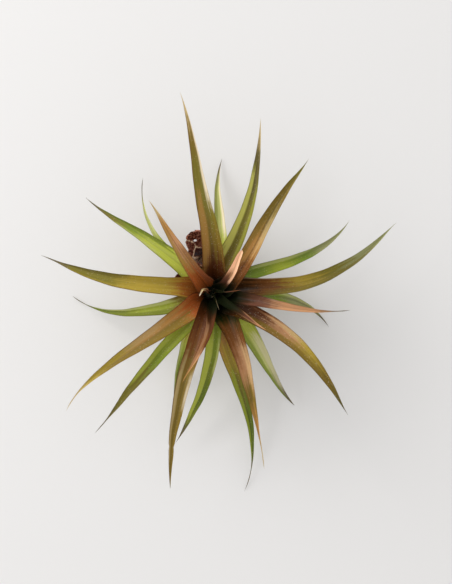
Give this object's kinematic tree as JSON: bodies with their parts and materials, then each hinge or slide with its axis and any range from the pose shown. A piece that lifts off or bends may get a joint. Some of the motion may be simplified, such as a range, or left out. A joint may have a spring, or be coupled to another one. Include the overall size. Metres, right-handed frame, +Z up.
{
  "type": "air plant",
  "caption": "Rosette of narrow channelled leaves that taper to dry threads, on a leaning old stem clothed in dead leaf stubs, resting on a surface without a pot.",
  "frame": {"origin": "middle of the flat, worn underside of the stem", "axes": "+Z upwards, square to the surface the plant rests on; the heart of the rosette lies towards -Y of the origin; +X to the right as seen from above with +Y away from the viewer"},
  "size_m": [0.1781, 0.2046, 0.086],
  "materials": {
    "leaf_green": "satin",
    "leaf_rusty": "satin",
    "leaf_young": "satin",
    "old_leaf_brown": "matte",
    "stem_brown": "matte"
  },
  "bodies": {
    "root": {"stem": "stem_brown", "root_01": "stem_brown", "root_02": "stem_brown", "root_03": "stem_brown", "root_04": "stem_brown", "old_leaf_01": "old_leaf_brown", "old_leaf_02": "old_leaf_brown", "old_leaf_03": "old_leaf_brown", "old_leaf_04": "old_leaf_brown", "old_leaf_05": "old_leaf_brown", "old_leaf_06": "old_leaf_brown", "old_leaf_07": "old_leaf_brown", "old_leaf_08": "old_leaf_brown", "old_leaf_09": "old_leaf_brown", "old_leaf_10": "old_leaf_brown", "old_leaf_11": "old_leaf_brown", "old_leaf_12": "old_leaf_brown", "old_leaf_13": "old_leaf_brown", "old_leaf_14": "old_leaf_brown", "old_leaf_15": "old_leaf_brown", "old_leaf_16": "old_leaf_brown", "leaf_01": "leaf_green", "leaf_02": "leaf_green", "leaf_03": "leaf_green", "leaf_04": "leaf_green", "leaf_05": "leaf_green", "leaf_06": "leaf_green", "leaf_07": "leaf_green", "leaf_08": "leaf_green", "leaf_09": "leaf_green", "leaf_10": "leaf_green", "leaf_11": "leaf_green", "leaf_12": "leaf_green", "leaf_13": "leaf_rusty", "leaf_14": "leaf_rusty", "leaf_15": "leaf_rusty", "leaf_16": "leaf_rusty", "leaf_17": "leaf_rusty", "leaf_18": "leaf_rusty", "leaf_19": "leaf_rusty", "leaf_20": "leaf_rusty", "leaf_21": "leaf_rusty", "leaf_22": "leaf_rusty", "leaf_23": "leaf_rusty", "leaf_24": "leaf_rusty", "leaf_25": "leaf_rusty", "heart_leaf_01": "leaf_young", "heart_leaf_02": "leaf_young", "heart_leaf_03": "leaf_young"}
  },
  "joints": []
}
